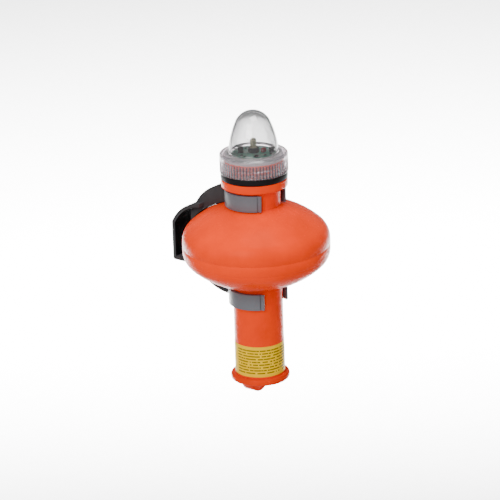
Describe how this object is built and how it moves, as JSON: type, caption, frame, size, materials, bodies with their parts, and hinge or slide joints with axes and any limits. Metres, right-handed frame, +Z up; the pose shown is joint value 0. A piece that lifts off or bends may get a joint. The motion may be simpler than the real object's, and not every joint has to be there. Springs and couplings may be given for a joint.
{
  "type": "lifebuoy light",
  "caption": "Upright floating emergency light: clear screw-on dome, fat round float, battery tube with a lanyard eye, held by spring clips on a wall bracket.",
  "frame": {"origin": "middle of the bracket's wall face, level with the widest part of the float", "axes": "+Z up along the beacon, dome at the top; +Y into the wall; the clips open to -Y"},
  "size_m": [0.1186, 0.1343, 0.2344],
  "materials": {
    "clear_plastic": "clear, polished",
    "orange_plastic": "glossy",
    "tail_plastic": "glossy",
    "black_rubber": "matt",
    "label_film": "satin film",
    "bracket_plastic": "moulded, satin",
    "clip_plastic": "moulded, satin",
    "stainless": "plain",
    "nickel": "plated",
    "brass": "plain",
    "cell_jacket": "lacquered can, its density stands for a whole cell",
    "carrier_plastic": "moulded",
    "board_laminate": "lacquered board",
    "component_black": "moulded",
    "capacitor_red": "dipped",
    "led_epoxy": "clear resin",
    "lead_insulation": "sleeved"
  },
  "bodies": {
    "bracket": {"wall_bracket": "bracket_plastic", "upper_clip": "clip_plastic", "lower_clip": "clip_plastic", "clip_screws": "stainless"},
    "beacon": {"upper_float_shell": "orange_plastic", "lower_float_shell": "orange_plastic", "lens_gasket": "black_rubber", "tail_cap": "tail_plastic", "instruction_label": "label_film", "battery_spring": "stainless", "contact_strip": "nickel"},
    "lamp_stack": {"battery_cell_upper": "cell_jacket", "battery_cell_lower": "cell_jacket", "lamp_carrier": "carrier_plastic", "positive_contact": "brass", "negative_contact": "nickel", "positive_lead": "lead_insulation", "negative_lead": "lead_insulation", "circuit_board": "board_laminate", "board_screws": "stainless", "led_socket": "component_black", "led_lamp": "led_epoxy", "tilt_switch_can": "component_black", "storage_capacitor": "capacitor_red", "driver_transistor": "component_black", "driver_inductor": "component_black", "board_resistors": "component_black"},
    "cap": {"lens_cap": "clear_plastic"},
    "switch_ball": {"tilt_switch_ball": "stainless"}
  },
  "joints": [
    {"name": "beacon_release", "type": "slide", "parent": "bracket", "child": "beacon", "axis": [0, -1, 0], "range_m": [0, 0.09], "deforming": ["upper_clip", "lower_clip"]},
    {"name": "stack_lift", "type": "slide", "parent": "beacon", "child": "lamp_stack", "axis": [0, 0, 1], "range_m": [0, 0.008], "deforming": ["battery_spring"]},
    {"name": "cap_turn", "type": "hinge", "parent": "lamp_stack", "child": "cap", "pos_m": [0, -0.075, 0.07], "axis": [0, 0, 1], "range_deg": [0, 720]},
    {"name": "ball_roll", "type": "slide", "parent": "lamp_stack", "child": "switch_ball", "axis": [0, 0, 1], "range_m": [0, 0.0014]}
  ],
  "couplings": [
    {"joint": "cap_turn", "follows": "stack_lift", "rad_per_m": 1570.8}
  ]
}
